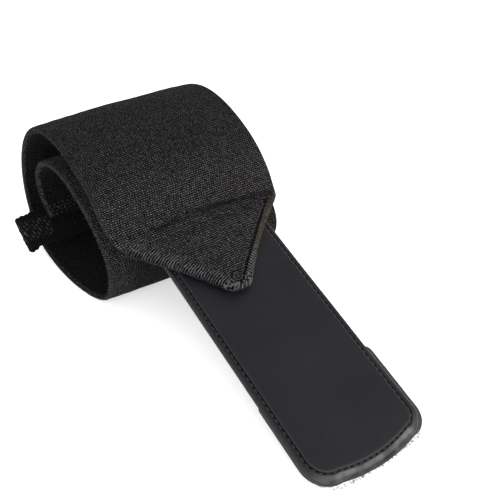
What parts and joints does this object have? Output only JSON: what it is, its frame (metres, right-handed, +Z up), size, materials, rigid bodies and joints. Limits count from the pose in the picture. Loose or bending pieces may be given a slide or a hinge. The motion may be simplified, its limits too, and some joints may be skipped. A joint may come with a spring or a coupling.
{
  "type": "wrist wrap",
  "caption": "Elastic wrist support folded into a loose roll, with a pointed end, a rubber pull tab over hook tape, and a webbing thumb loop.",
  "frame": {"origin": "on the floor, under the centre of the wrap's box", "axes": "+X along the tab towards its free end, +Y along the roll's axis, away from the thumb loop, +Z up"},
  "size_m": [0.2136, 0.099, 0.0763],
  "materials": {
    "ribbed_elastic": "thick ribbed elastic weave, matt",
    "moulded_rubber": "smooth moulded rubber with a soft sheen",
    "hook_tape": "stiff tape with fine hooks underneath",
    "knit_webbing": "narrow soft webbing in a coarse knit"
  },
  "bodies": {
    "root": {"elastic_band": "ribbed_elastic", "tab": "moulded_rubber", "hook_patch": "hook_tape", "thumb_loop": "knit_webbing"}
  },
  "joints": []
}
